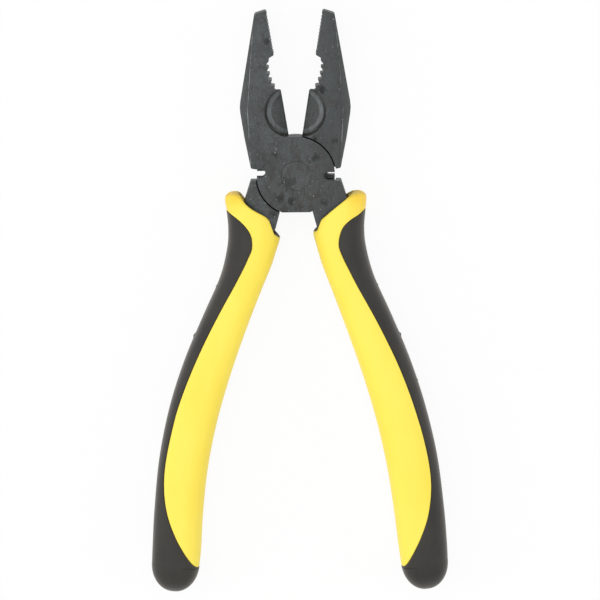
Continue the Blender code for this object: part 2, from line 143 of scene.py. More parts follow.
class Finish(Tree):
    """A material being written: its node tree, its object coordinates and its shader."""

    def __init__(self, name):
        self.material = bpy.data.materials.new(name)
        self.material.use_nodes = True
        super().__init__(self.material.node_tree)
        self.shader = self.tree.nodes["Principled BSDF"]
        self.place = self.node("ShaderNodeTexCoord", {}, {}, "Object")

    def vector(self, operation, first, second, output="Vector"):
        """An output of a new Vector Math node on the two."""
        return self.node("ShaderNodeVectorMath", {"operation": operation}, {0: first, 1: second}, output)

    def axis(self, place, name):
        """The place's own X, Y or Z."""
        return self.node("ShaderNodeSeparateXYZ", {}, {"Vector": place}, name)

    def mirrored(self):
        """The place with its x made positive: the larger, axis by axis, of the place and its mirror image."""
        return self.vector("MAXIMUM", self.place, self.vector("MULTIPLY", self.place, (-1, 1, 1)))

    def away_from(self, place, point):
        """Distance in plan from the point: the length of the gap, with its z made 0."""
        gap = self.vector("SUBTRACT", place, point)
        return self.vector("LENGTH", self.vector("MULTIPLY", gap, (1, 1, 0)), (0, 0, 0), "Value")

    def noise(self, scale, detail, roughness, stretch=(1, 1, 1), shift=(0, 0, 0)):
        """Noise from 0 to 1 with about scale lumps a metre, finer along an axis where stretch is above 1."""
        place = self.node("ShaderNodeMapping", {}, {"Vector": self.place, "Scale": stretch, "Location": shift})
        values = {"Vector": place, "Scale": scale, "Detail": detail, "Roughness": roughness}
        return self.node("ShaderNodeTexNoise", {}, values)

    def step(self, value, low, high):
        """0 below low and 1 above high, with a smooth rise between."""
        values = {"Value": value, "From Min": low, "From Max": high}
        return self.node("ShaderNodeMapRange", {"interpolation_type": "SMOOTHSTEP"}, values)

    def band(self, value, start, full, fade, end):
        """1 from full to fade, and 0 before start and after end, with a smooth slope between."""
        return self.step(value, start, full) * (1 - self.step(value, fade, end))

    def mix(self, share, first, second):
        """The first colour where share is 0, and the second where it is 1."""
        settings = {"data_type": "RGBA", "clamp_factor": True}
        return self.node("ShaderNodeMix", settings, {0: share, 6: colour(first), 7: colour(second)}, 2)

    def bump(self, height, distance, strength):
        """A normal tilted as if the surface rose by distance where height goes from 0 to 1."""
        values = {"Height": height, "Distance": distance, "Strength": strength}
        return self.node("ShaderNodeBump", {}, values)

    def done(self, **values):
        """The material, with the values in its shader's sockets."""
        self.fill(self.shader, {name.replace("_", " "): value for name, value in values.items()})
        print(self.material.name, "has", len(self.tree.nodes), "nodes")
        return self.material


def colour(value):
    """A colour as a socket takes it: a Signal as it is, and three numbers with an alpha of 1."""
    return value if isinstance(value, Signal) else (*value, 1)


# %% [markdown]
# ## Blackened steel
#
# The forgings are oxidised black and oiled. Seen close, the black is a grey-green with a fine mottle, slow
# clouds, brown oil round the pivot, dark smudges of grease and pinpricks of bare metal. Noise of a few sizes,
# each cut off at its own level, gives all that. A mark with a place of its own is drawn by the distance from
# a point or a line of the plan, broken up by noise. Both levers are one forging, so a mark of the milling is
# drawn once, on the place with its x made positive.

# %% Marks with a place of their own
CHAMFER = ((0.01406, 0.0515), (0.01626, 0.0227), (0.01536, 0.0041))
LINE_SOLID = 0.00003
LINE_GONE = 0.00014
LINE_FADE = 0.0002
# Each smudge: x, y, radius in mm, and how strong it is.
SMUDGES_MM = (
    (9.0, 29.5, 1.4, 1.0), (-9.2, 46.2, 1.2, 0.8), (6.5, 12.8, 0.9, 1.0), (13.0, 11.9, 1.0, 0.8),
    (6.7, 6.4, 1.4, 0.8), (-7.1, 7.4, 0.9, 0.7), (-2.5, -2.4, 2.2, 0.7), (-1.3, -8.7, 1.3, 0.9),
    (-5.4, -7.7, 1.4, 0.8), (9.6, -9.2, 1.2, 0.7), (-7.8, -13.1, 1.2, 0.8),
)
MM = 0.001


def worn_line(steel, place, start, end):
    """A thin broken line of bare metal between two points of the plan. The distance from it is the place's
    dot product with the line's normal, less the start's own."""
    along = np.subtract(end, start)
    normal = np.array((-along[1], along[0], 0)) / np.hypot(*along)
    off = steel.vector("DOT_PRODUCT", place, normal, "Value")
    off = steel.node("ShaderNodeMath", {"operation": "ABSOLUTE"}, {0: off - float(normal[:2] @ start)})
    low, high = sorted((start[1], end[1]))
    span = steel.band(steel.axis(place, "Y"), low - LINE_FADE, low, high, high + LINE_FADE)
    broken = steel.step(steel.noise(330, 4, 0.7, (1, 0.5, 1), (4, 4, 0)), 0.42, 0.60)
    return (1 - steel.step(off, LINE_SOLID, LINE_GONE)) * span * broken


def smudges(steel):
    """Soft smudges, each 1 where the distance from its middle, shaken by noise, is under half its radius, and
    0 where it is over 1.4 times that radius."""
    ragged = steel.noise(520, 5, 0.7, (1.2, 0.7, 1.0), (2, 6, 1)) - 0.5
    total = 0.0
    for x, y, radius, share in SMUDGES_MM:
        off = steel.away_from(steel.place, (x * MM, y * MM, 0)) + ragged * (radius * 3.5 * MM)
        total = total + (1 - steel.step(off, radius * 0.5 * MM, radius * 1.4 * MM)) * share
    return total


print(len(SMUDGES_MM), "smudges and", len(CHAMFER) - 1, "worn lines a lever")

# %% Black skin, oil and milled hollows
STEEL_DARK = (0.020, 0.024, 0.024)
STEEL_PALE = (0.046, 0.053, 0.054)
STEEL_OIL = (0.012, 0.011, 0.009)
STEEL_GREASE = (0.009, 0.010, 0.0095)
STEEL_MILLED = (0.095, 0.105, 0.108)
STEEL_BARE = (0.42, 0.44, 0.44)
# Painted shade: the skin darkens towards +x, as if that side of the pliers lay in shade.
PAINTED_SHADE_FROM_X = (0.002, 0.010)
HOLLOW_MIDDLE = (0.00174, 0.02191, 0.0)
HOLLOW_RADIUS = 0.0086
FLOOR_ENDS = (HOLLOW_RADIUS - 0.0023, HOLLOW_RADIUS - 0.0020)
COVE_ENDS = (HOLLOW_RADIUS - 0.0011, HOLLOW_RADIUS - 0.0005)


def black_skin(steel):
    """The oxidised skin and its clouds: two greys, mixed by clouds and mottle, with shade painted darker
    towards +x.
    """
    clouds = steel.noise(160, 5, 0.6)
    mottle = steel.noise(1500, 4, 0.6, shift=(0, 4, 0))
    skin = steel.mix(steel.step(clouds * 0.5 + mottle * 0.5, 0.38, 0.62), STEEL_DARK, STEEL_PALE)
    # Painted shade: towards +x the skin is mixed half way to the dark grey.
    painted_shade = steel.step(steel.axis(steel.place, "X"), *PAINTED_SHADE_FROM_X)
    return steel.mix(painted_shade * 0.5, skin, STEEL_DARK), clouds


def oiled(steel, skin, near_pivot, streaky):
    """The skin under streaky oil, thickest near the pivot, and under blots of it."""
    skin = steel.mix(streaky * (near_pivot * 0.75 + 0.22), skin, STEEL_OIL)
    blots = steel.step(steel.noise(480, 3, 0.6, (1.3, 0.8, 1.0), (0, 8, 3)), 0.57, 0.66)
    return steel.mix(blots * 0.75 + near_pivot * 0.2, skin, STEEL_OIL)


def milled(steel, skin, from_hollow):
    """The skin with the hollow's own: a bright, streaky cove round an oily floor."""
    streaks = steel.step(steel.noise(1700, 3, 0.6, (1, 0.14, 1), (9, 0, 0)), 0.38, 0.62)
    level = 1 - steel.step(from_hollow, *FLOOR_ENDS)
    cove = steel.band(from_hollow, *FLOOR_ENDS, *COVE_ENDS)
    skin = steel.mix(cove * (streaks * 0.5 + 0.5) + level * streaks * 0.08, skin, STEEL_MILLED)
    return steel.mix(level * 0.14, skin, STEEL_OIL)


print("hollow floors are", round(FLOOR_ENDS[0] * 1000, 1), "mm in radius")

# %% All of the skin, layer on layer
OILIEST = (0, -0.003, 0)
OIL_ENDS = (0.004, 0.022)
RIVET_EDGE = 0.0050
RIVET_SEAM = (RIVET_EDGE - 0.0003, RIVET_EDGE, RIVET_EDGE, RIVET_EDGE + 0.0003)
# Painted shade: a dark band along the foot of each hollow's wall, where the groove lies in shadow.
HOLLOW_CORNER_SHADE = tuple(HOLLOW_RADIUS + off for off in (-0.0007, -0.0003, 0.0001, 0.0003))


def blackened(steel):
    """Colour, clouds and grease of the blackened steel: black skin, oil, grease, milled hollows, worn lines,
    painted shade in the hollows' corners, dirt in the rivet's seam, and bare specks."""
    skin, clouds = black_skin(steel)
    near_pivot = 1 - steel.step(steel.away_from(steel.place, OILIEST), *OIL_ENDS)
    streaky = steel.step(steel.noise(420, 5, 0.7, (1.3, 0.55, 1.0), (3, 1, 2)), 0.46, 0.62)
    skin = oiled(steel, skin, near_pivot, streaky)
    grease = smudges(steel)
    skin = steel.mix(grease * 0.95, skin, STEEL_GREASE)
    either_side = steel.mirrored()
    from_hollow = steel.away_from(either_side, HOLLOW_MIDDLE)
    skin = milled(steel, skin, from_hollow)
    worn = sum(worn_line(steel, either_side, *ends) for ends in zip(CHAMFER, CHAMFER[1:]))
    skin = steel.mix(worn * 0.5, skin, STEEL_BARE)
    # Painted shade: the band round the hollow's wall, darkened as the groove's shadow.
    corner_shade = steel.band(from_hollow, *HOLLOW_CORNER_SHADE)
    seam = steel.band(steel.away_from(steel.place, (0, 0, 0)), *RIVET_SEAM)
    # Painted shade in the hollows' corners and real dirt in the rivet's seam, both in the oil's colour.
    skin = steel.mix(corner_shade * 0.85 + seam * streaky * 0.8, skin, STEEL_OIL)
    specks = steel.step(steel.noise(1700, 2, 0.5, shift=(7, 0, 0)) + near_pivot * 0.03, 0.735, 0.785)
    return steel.mix(specks * 0.9, skin, STEEL_BARE), clouds, grease


# %% [markdown]
# The smudges have to be darker than a black dielectric can be, because its gloss alone shows as dark grey.
# Metal has no gloss but its own colour, so the smudges are more metallic. The black wears away first at the
# edges, so the narrow bevels get a second, brighter steel.

# %% The two steels of a forging
METAL_SHARE = 0.25
GREASE_METAL = 0.4
EDGE_METAL = 0.7
STEEL_RUBBED = (0.25, 0.265, 0.27)
LEAST_RUBBED = 0.12


def blackened_forging():
    """The faces: the blackened steel with a fine grain in its roughness and its normal."""
    steel = Finish("blackened_forging")
    skin, clouds, grease = blackened(steel)
    grain = steel.noise(2600, 3, 0.6)
    return steel.done(
        Base_Color=skin,
        Metallic=grease * GREASE_METAL + METAL_SHARE,
        Roughness=clouds * 0.24 + grain * 0.16 + 0.28,
        Normal=steel.bump(grain, 0.00005, 0.6),
    )


def worn_edge():
    """The bevels: rubbed steel that breaks up into the black skin where the noise is low."""
    edge = Finish("worn_forging_edge")
    skin, clouds, _ = blackened(edge)
    rubbed = edge.step(edge.noise(520, 5, 0.65, shift=(1, 5, 0)), 0.36, 0.62)
    share = rubbed * (1 - LEAST_RUBBED) + LEAST_RUBBED
    return edge.done(
        Base_Color=edge.mix(share, skin, STEEL_RUBBED),
        Metallic=EDGE_METAL,
        Roughness=clouds * 0.2 + 0.28,
    )


forging_skin = blackened_forging()
forging_edge = worn_edge()

# %% [markdown]
# ## Closed plan and resting place
#
# Both levers and both grips are drawn once, in the plan of the front lever with the pliers closed, with the
# height measured from the joint's middle plane. At rest the front lever is turned by half the opening. The
# back one is the same thing turned over about the Y axis, so its x and its height change sign.

# %% Closed plan to resting place
OPENING = math.radians(9.25)
MID_PLANE = 0.00575


def opened(points, side):
    """Points of the closed plan at rest. The right side is turned by half the opening, with x cos - y sin and
    x sin + y cos. The left side is then turned over, with -x and with its height from the middle plane down."""
    c, s = math.cos(OPENING), math.sin(OPENING)
    x, y, z = points[..., 0], points[..., 1], points[..., 2]
    turned_x, turned_y = x * c - y * s, x * s + y * c
    if side == "right":
        return np.stack([turned_x, turned_y, z + MID_PLANE], axis=-1)
    return np.stack([-turned_x, turned_y, MID_PLANE - z], axis=-1)


print("jaws open by", round(math.degrees(2 * OPENING), 1), "degrees at rest")

# %% [markdown]
# ## Hollows behind the cutting edges
#
# A round milling cutter clears the metal behind each cutting edge. It leaves a cove along the hollow's wall:
# steep at the wall, level 2 mm further in, and then a crisp edge where the ground slope begins. The solid has
# the wall and the slope. The cove is cut into a copy of it by a tool shape, one for each face: a quarter
# ellipse carried round the hollow's arc.

# %% The cove cutter, as a profile carried round an arc
HEAD_HALF = MID_PLANE
ARC_MIDDLE = (0.0018, 0.0219)
ARC_DEGREES = (100, 260)
ARC_STEPS = 65
PROFILE_STEPS = 17
COVE_WIDTH = 0.0019
COVE_LEAST_WIDTH = 0.0004
COVE_HALF_DEGREES = 85
SLOPE_RISE = 0.6691
SLOPE_START = 0.0003
LEAST_LEVEL = 0.0008
RUN_ON = 0.0003
OVERCUT = 0.0001
ABOVE_FACE = 0.001


def cove_cutter(face):
    """A closed tube round the arc. Its profile drops at the wall, follows a quarter ellipse to a level at the
    slope's own height there, runs on a little and goes up again above the face. It is widest at the arc's
    middle, and narrows as the root of 1 - the square of the turn from there."""
    turn = np.radians(np.linspace(*ARC_DEGREES, ARC_STEPS))[:, None]
    narrowing = np.clip(1 - ((turn - math.pi) / math.radians(COVE_HALF_DEGREES)) ** 2, 0, 1)
    wide = COVE_WIDTH * np.sqrt(narrowing) + COVE_LEAST_WIDTH
    radius = HOLLOW_RADIUS + OVERCUT
    level = SLOPE_START - SLOPE_RISE * (ARC_MIDDLE[0] + (radius - wide) * np.cos(turn))
    level = np.maximum(level, LEAST_LEVEL)
    t = np.linspace(0, math.pi / 2, PROFILE_STEPS)[None]
    top = HEAD_HALF - OVERCUT
    above = np.full_like(wide, HEAD_HALF + ABOVE_FACE)
    inwards = np.concatenate([wide * 0, wide * (1 - np.cos(t)), wide + RUN_ON, wide + RUN_ON], axis=1)
    height = np.concatenate([above, level + (top - level) * (1 - np.sin(t)), level, above], axis=1)
    x = ARC_MIDDLE[0] + (radius - inwards) * np.cos(turn)
    y = ARC_MIDDLE[1] + (radius - inwards) * np.sin(turn)
    return np.stack([x, y, height * face], axis=-1)


print("the cove is up to", round((COVE_WIDTH + COVE_LEAST_WIDTH) * 1000, 1), "mm wide")

# %% A closed tube, and a solid less its cutters
def tube_mesh(name, grid):
    """A closed mesh over a grid whose columns join up and whose first and last rows are capped."""
    rows, columns = grid.shape[:2]
    here = np.arange(rows * columns).reshape(rows, columns)
    ahead = np.roll(here, -1, axis=1)
    faces = np.stack([here[:-1], ahead[:-1], ahead[1:], here[1:]], axis=-1).reshape(-1, 4).tolist()
    mesh = bpy.data.meshes.new(name)
    mesh.from_pydata(grid.reshape(-1, 3), [], faces + [here[0].tolist(), here[-1].tolist()])
    surface = bmesh.new()
    surface.from_mesh(mesh)
    bmesh.ops.recalc_face_normals(surface, faces=surface.faces)
    surface.to_mesh(mesh)
    print(name, "holds", round(surface.calc_volume() * 1e9, 1), "cubic mm")
    surface.free()
    return mesh


def carved(mesh, cutters):
    """The mesh less the cutters, by exact Boolean differences."""
    body = bpy.data.objects.new("body", mesh)
    tools = [bpy.data.objects.new("tool", cutter) for cutter in cutters]
    for made in [body, *tools]:
        bpy.context.scene.collection.objects.link(made)
    for tool in tools:
        cut = body.modifiers.new("cut", "BOOLEAN")
        cut.operation = "DIFFERENCE"
        cut.solver = "EXACT"
        cut.object = tool
    result = bpy.data.meshes.new_from_object(body.evaluated_get(bpy.context.evaluated_depsgraph_get()))
    for made in [body, *tools]:
        bpy.data.objects.remove(made)
    return result


# %% [markdown]
# ## The levers
#
# Each lever is one forging, ground flat on its faces. A real edge is never as sharp as the solid's, and
# catches the light as a thin bright line. A copy of the solid is merged into one surface, its flat faces are
# joined again, and a Bevel modifier cuts a narrow round along every edge, in the worn steel.

# %% Levers with rounded, worn edges
MERGE = 2e-6
FLAT = math.radians(0.4)
EDGE_ROUND = 0.00013
EDGE_SEGMENTS = 2
SHARP = math.radians(14)


def settled(mesh, name, body, replaced):
    """A finished piece, in its place in the frame, riding on its body."""
    piece = bpy.data.objects.new(name, mesh)
    bpy.context.scene.collection.objects.link(piece)
    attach(piece, body)
    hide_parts(replaced)
    print(name, "rides on", body)
    return piece


def simplified(mesh, name):
    """The mesh as one surface: doubles merged and flat faces joined."""
    surface = bmesh.new()
    surface.from_mesh(mesh)
    bmesh.ops.remove_doubles(surface, verts=surface.verts, dist=MERGE)
    bmesh.ops.dissolve_limit(surface, angle_limit=FLAT, verts=surface.verts, edges=surface.edges)
    simple = bpy.data.meshes.new(name)
    surface.to_mesh(simple)
    open_edges = sum(len(edge.link_faces) != 2 for edge in surface.edges)
    print(f"{name}: {len(surface.faces)} faces, {open_edges} open edges")
    surface.free()
    return simple


def forging(node, name, body, side):
    """The node's solid with a cove cut in each face, bevelled along each sharp edge."""
    whole = simplified(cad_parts[node].data, name)
    cutters = [tube_mesh(f"{side}_cove", opened(cove_cutter(face), side)) for face in (1, -1)]
    mesh = simplified(carved(whole, cutters), name)
    mesh.materials.clear()
    mesh.materials.append(forging_skin)
    mesh.materials.append(forging_edge)
    mesh.shade_smooth()
    piece = settled(mesh, name, body, node)
    bevel = piece.modifiers.new("worn_edges", "BEVEL")
    bevel.width = EDGE_ROUND
    bevel.segments = EDGE_SEGMENTS
    bevel.limit_method = "ANGLE"
    bevel.angle_limit = SHARP
    bevel.material = 1
    bevel.harden_normals = True
    return piece


forging("front_lever", "front_forging", "front_half", "right")
forging("back_lever", "back_forging", "back_half", "left")

# %% [markdown]
# ## The rivet
#
# The rivet is peened into its countersinks and ground flush, so only a faint ring shows. Its solid has the
# right shape, and needs only its own steel, a little smoother than the levers.

# %% Rivet finish
def peened_steel():
    """The blackened steel with fine marks of the grinding, stretched along x."""
    steel = Finish("peened_rivet_steel")
    skin, clouds, grease = blackened(steel)
    marks = steel.step(steel.noise(900, 4, 0.7, (1, 3, 1)), 0.45, 0.7)
    return steel.done(
        Base_Color=steel.mix(marks * 0.12, skin, STEEL_PALE),
        Metallic=grease * GREASE_METAL + METAL_SHARE,
        Roughness=clouds * 0.25 + 0.3,
        Normal=steel.bump(marks, 0.00003, 0.4),
    )


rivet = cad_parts["pivot_rivet"]
rivet.data.materials.clear()
rivet.data.materials.append(peened_steel())

# %% [markdown]
# ## The form of a grip
#
# Both mouldings of a grip share one outer form. It is a row of cross-sections, in the lever's own plan with
# the pliers closed. A section is a superellipse, fuller than an ellipse, and the sections fade to a point
# round the butt. Two numbers find any point of it: u, how far along the row of sections, and an angle round
# the section. The two grips came out of the mould a little different, so each has its own small shifts of the
# sections' edges.

# %% Sections of the two grips
# Each section: outer edge x and y, inner edge x and y, and height. Each side's shifts: outer, then inner.
SECTIONS = np.array((
    (0.0228, -0.0060, 0.0050, -0.0140, 0.0162),
    (0.0228, -0.0094, 0.0034, -0.0180, 0.0172),
    (0.0223, -0.0126, 0.0024, -0.0210, 0.0179),
    (0.0216, -0.0164, 0.0024, -0.0238, 0.0184),
    (0.0199, -0.0218, 0.0028, -0.0271, 0.0185),
    (0.0194, -0.0284, 0.0037, -0.0322, 0.0185),
    (0.0205, -0.0389, 0.0055, -0.0418, 0.0185),
    (0.0240, -0.0530, 0.0086, -0.0572, 0.0185),
    (0.0277, -0.0691, 0.01145, -0.0734, 0.0185),
    (0.0302, -0.0860, 0.01335, -0.0890, 0.0185),
    (0.0313, -0.1038, 0.0141, -0.1048, 0.0185),
    (0.0306, -0.1216, 0.01375, -0.1201, 0.0185),
    (0.0295, -0.1334, 0.0130, -0.1319, 0.0185),
    (0.0290, -0.1395, 0.0128, -0.1387, 0.0185),
))
LAST_SECTION = len(SECTIONS) - 1
EDGE_SHIFTS_MM = {
    "left": (
        (0.3, 0.3, 0.3, -0.3, 0.15, 0, -0.2, 0.04, 0.35, 0.5, 0.22, -0.06, -0.12, -0.3),
        (0, 0, -0.3, -0.26, -0.09, -0.2, 0.28, 0.49, 0.5, 0.48, 0.39, 0.06, -0.33, -0.52),
    ),
    "right": (
        (0, 0, -0.1, -0.45, 0.02, 0, -0.1, 0, 0, 0, 0, 0, 0.1, -0.12),
        (0, 0, 0, 0.2, 0.15, -0.1, -0.01, -0.21, -0.39, -0.5, -0.46, -0.32, -0.08, -0.05),
    ),
}


def shifted(side):
    """The sections with each edge moved along its own section, away from the pliers' middle."""
    across = SECTIONS[:, 0:2] - SECTIONS[:, 2:4]
    across = across / np.linalg.norm(across, axis=1)[:, None]
    outer, inner = np.array(EDGE_SHIFTS_MM[side])[..., None] / 1000
    edges = [SECTIONS[:, 0:2] + across * outer, SECTIONS[:, 2:4] + across * inner]
    return np.concatenate([*edges, SECTIONS[:, 4:]], axis=1)


GRIPS = {side: shifted(side) for side in ("left", "right")}
print(len(SECTIONS), "sections a grip")

# %% A point on the form, from u, an angle and a depth below the surface
SQUARENESS = 2.8
THICKEST = 0.0185
BUTT_DEPTH = 0.0098
BUTT_WAY = np.diff((SECTIONS[-2:, 0:2] + SECTIONS[-2:, 2:4]) / 2, axis=0)[0]
BUTT_WAY = BUTT_WAY / np.linalg.norm(BUTT_WAY)


def through(points, u):
    """A Catmull-Rom curve through the rows of points, at the places u, where 0 is the first row."""
    ends = [2 * points[:1] - points[1:2], points, 2 * points[-1:] - points[-2:-1]]
    padded = np.concatenate(ends)
    span = np.clip(np.floor(u).astype(int), 0, len(points) - 2)
    t = (u - span)[..., None]
    before, start, end, after = (padded[span + k] for k in range(4))
    curve = start + t * (end - before) / 2
    curve = curve + t**2 * (2 * before - 5 * start + 4 * end - after) / 2
    return curve + t**3 * (3 * start - before - 3 * end + after) / 2


def section_at(grip, u, depth):
    """Middle, half width, half height and direction across of the section at u, all drawn in by depth. Past
    the last section the sizes shrink as a cosine while the middle moves on as a sine, which rounds the butt."""
    rows = through(grip, np.minimum(u, LAST_SECTION))
    outer, inner, height = rows[..., 0:2], rows[..., 2:4], np.minimum(rows[..., 4], THICKEST)
    width = np.linalg.norm(outer - inner, axis=-1)
    over = np.clip(u - LAST_SECTION, 0, 1) * math.pi / 2
    middle = (outer + inner) / 2 + ((BUTT_DEPTH - depth) * np.sin(over))[..., None] * BUTT_WAY
    reach = (width / 2 - depth) * np.cos(over)
    rise = (height / 2 - depth) * np.cos(over)
    return middle, reach, rise, (outer - inner) / width[..., None]


def form_point(grip, u, share, lift, depth, sag=0.0):
    """The point share of the way across and lift of the way up the section at u, its top lowered by sag."""
    middle, reach, rise, sideways = section_at(grip, u, depth)
    plan = middle + (reach * share)[..., None] * sideways
    return np.concatenate([plan, ((rise - sag) * lift)[..., None]], axis=-1)


def superellipse(angle):
    """(share, lift) of the angle round a section: cos and sin over the root of their own powers' sum."""
    c, s = np.cos(angle), np.sin(angle)
    size = (np.abs(c) ** SQUARENESS + np.abs(s) ** SQUARENESS) ** (1 / SQUARENESS)
    return c / size, s / size


print("a butt rounds over in", BUTT_DEPTH, "m")

# %% [markdown]
# ## The line between the two mouldings
#
# The black overmould wraps the outer side and the butt, and the yellow core shows on the inner side and the
# guard. They meet along one line, seen from above, and the signed distance to that line says which moulding
# a point belongs to. The same distance rounds each moulding's rim, which leaves a thin dark groove.
#
# The line runs along the sections on the guard, where straight sections couldn't cross it. So the rows of the
# grids lean: a row keeps its section at the outer edge and climbs towards the jaws in the middle.

# %% Parting lines
PARTINGS_MM = {
    "left": (
        (25.0, -13.9), (20.4, -16.0), (18.15, -17.1), (15.9, -18.4), (13.5, -20.4), (12.05, -22.4),
        (11.39, -24.3), (11.12, -27.08), (12.05, -30.7), (12.9, -33.59), (15.15, -40.19), (17.59, -46.83),
        (19.89, -53.46), (22.03, -60.08), (23.92, -66.66), (25.61, -73.23), (27.02, -79.76), (28.14, -86.26),
        (28.77, -92.65), (29.17, -99.01), (29.27, -105.32), (28.73, -111.48), (27.44, -117.48),
        (25.22, -123.34), (21.91, -129.11), (18.89, -133.1), (16.41, -135.88), (14.81, -137.41),
        (13.31, -138.45), (12.3, -138.7), (10.5, -138.9),
    ),
    "right": (
        (25.0, -13.9), (21.0, -15.5), (18.7, -16.6), (16.5, -17.4), (14.2, -18.7), (12.9, -19.8),
        (11.86, -21.26), (10.9, -23.4), (10.4, -25.6), (10.51, -27.28), (11.2, -30.3), (12.27, -33.84),
        (14.37, -40.47), (16.75, -47.15), (19.04, -53.84), (21.09, -60.48), (22.97, -67.11),
        (24.52, -73.68), (25.79, -80.21), (26.8, -86.71), (27.6, -93.17), (28.08, -99.57),
        (28.2, -105.9), (27.73, -112.11), (26.38, -118.13), (24.22, -124.03), (20.99, -129.79),
        (18.05, -133.93), (15.43, -137.23), (13.80, -138.83), (12.6, -139.2), (10.5, -139.4),
    ),
}
LINE_POINTS = 241


def smooth_line(points_mm):
    """The Catmull-Rom curve through the points, in metres, as a row of points."""
    points = np.array(points_mm) / 1000
    return through(points, np.linspace(0, len(points) - 1, LINE_POINTS))


PARTINGS = {side: smooth_line(points) for side, points in PARTINGS_MM.items()}
print(len(PARTINGS), "parting lines of", LINE_POINTS, "points each")

# %% Rows that lean, and the distance from a line
LEAN = np.array(((0.0, 0.8), (2.5, 0.8), (3.5, 1.3), (4.2, 1.25), (7.0, 0.0), (14.0, 0.0)))


def leaning(row, share):
    """The u of a row at share of the way across: the row's number, less a hump in the middle of the row, which
    falls to nothing at the outer edge and dips below at the inner one."""
    inner = np.clip((-share - 0.3) / 0.6, 0, 1)
    hump = 1 - np.maximum(share, 0) - 1.25 * inner**2 * (3 - 2 * inner)
    return row - np.interp(row, LEAN[:, 0], LEAN[:, 1]) * hump


def into_black(points, line):
    """Distance in plan from the line of points, above 0 on its left, where the black is."""
    start, way = line[:-1], np.diff(line, axis=0)
    gap = points[..., None, :2] - start
    along = np.clip((gap * way).sum(-1) / (way * way).sum(-1), 0, 1)
    off = gap - along[..., None] * way
    far = np.linalg.norm(off, axis=-1)
    nearest = far.argmin(-1)[..., None]
    turn = np.take_along_axis(way[:, 0] * off[..., 1] - way[:, 1] * off[..., 0], nearest, -1)
    return np.sign(turn[..., 0]) * far.min(-1)


def rounding(distances, radius):
    """Depth below the surface of a round rim: a quarter circle that ends radius away from the rim."""
    short = np.clip(radius - distances, 0, radius)
    return radius - np.sqrt(radius**2 - short**2)


print("a row leans by", LEAN[:, 1].max(), "sections at most")

# %% Where the rows cross the line
GROOVE = 0.00018
RIM_ROUND = 0.00022
SHARES = np.linspace(1, -1, 121)
LEAST_SHARE = 1e-6
FINE_ROWS = 1500
OUTER_CROSSING = (1.0, 2.0, 5.0)
INNER_CROSSING = (-1.0, 11.0, 13.9)


def crossing(values, signs):
    """Where each row of signs first changes sign, as the value there, and whether it does."""
    change = np.diff(np.sign(signs), axis=-1) != 0
    at = np.argmax(change, axis=-1)
    rows = np.arange(len(signs))
    low, high = signs[rows, at], signs[rows, at + 1]
    part = low / np.where(low == high, 1, low - high)
    return values[at] + (values[at + 1] - values[at]) * part, change.any(axis=-1)


def rim_angles(grip, line, rows, offsets):
    """The angle at which each row crosses each line drawn beside the parting line, offset into the black. The
    superellipse's own formula, solved for the angle, gives it from the share."""
    black = into_black(form_point(grip, leaning(rows[:, None], SHARES), SHARES, 0.0, 0.0), line)
    angles = []
    for offset in offsets:
        met, found = crossing(SHARES, black - offset)
        met = np.where(found, met, np.where(black[:, 0] > offset, -1, 1))
        part = np.clip(np.abs(met), LEAST_SHARE, 1)
        angle = np.arctan((part**-SQUARENESS - 1) ** (1 / SQUARENESS))
        angles.append(np.where(met > 0, angle, math.pi - angle))
    return np.stack(angles, axis=1)


def ends_of_line(grip, line, offset):
    """The rows at which the offset line leaves the outer edge and reaches the inner edge."""
    found = []
    for share, first, last in (OUTER_CROSSING, INNER_CROSSING):
        rows = np.linspace(first, last, FINE_ROWS)
        edge = form_point(grip, leaning(rows, np.full(FINE_ROWS, share)), share, 0.0, 0.0)
        found.append(crossing(rows, into_black(edge, line)[None] - offset)[0][0])
    return found


for side in GRIPS:
    print(side, "parting line runs over rows", np.round(ends_of_line(GRIPS[side], PARTINGS[side], 0.0), 2))

# %% [markdown]
# ## From a grid of points to a closed skin
#
# The mouldings are grids: one row a section, one column a place round it. Rows that shrink to a point close
# the ends, and columns that meet close the seams, once points in the same place are merged.

# %% Grid to mesh
SAME_PLACE = 3e-7
CREASE = math.radians(50)


def skin(name, grid, kept, second):
    """A mesh over a grid whose columns join up, without the faces that aren't kept, its doubles merged. The
    faces marked in second take the second material."""
    rows, columns = grid.shape[:2]
    here = np.arange(rows * columns).reshape(rows, columns)
    ahead = np.roll(here, -1, axis=1)
    faces = np.stack([here[:-1], ahead[:-1], ahead[1:], here[1:]], axis=-1)[kept]
    mesh = bpy.data.meshes.new(name)
    mesh.from_pydata(grid.reshape(-1, 3), [], faces.tolist())
    mesh.polygons.foreach_set("material_index", second[kept].astype(np.int32))
    surface = bmesh.new()
    surface.from_mesh(mesh)
    bmesh.ops.remove_doubles(surface, verts=surface.verts, dist=SAME_PLACE)
    bmesh.ops.dissolve_degenerate(surface, edges=surface.edges, dist=SAME_PLACE)
    bmesh.ops.recalc_face_normals(surface, faces=surface.faces)
    open_edges = sum(len(edge.link_faces) != 2 for edge in surface.edges)
    volume = surface.calc_volume(signed=True)
    print(f"{name}: {len(surface.faces)} faces, {open_edges} open edges, {volume * 1e6:.2f} cm3")
    surface.to_mesh(mesh)
    surface.free()
    mesh.shade_smooth()
    mesh.set_sharp_from_angle(angle=CREASE)
    return mesh


# %% [markdown]
# ## Yellow plastic and black rubber
#
# The core is a satin, dyed plastic: its colour barely changes, with a faint flow pattern and a darker, warmer
# yellow painted at the lobe as shade where it rounds away. The overmould is a soft black rubber with a fine
# spark-eroded grain, greyer where it is handled.
# Both are plain dielectrics, so the work is in small, slow changes of colour and roughness.

# %% Grip finishes
YELLOW = (0.925, 0.735, 0.082)
YELLOW_PALE = (0.945, 0.775, 0.104)
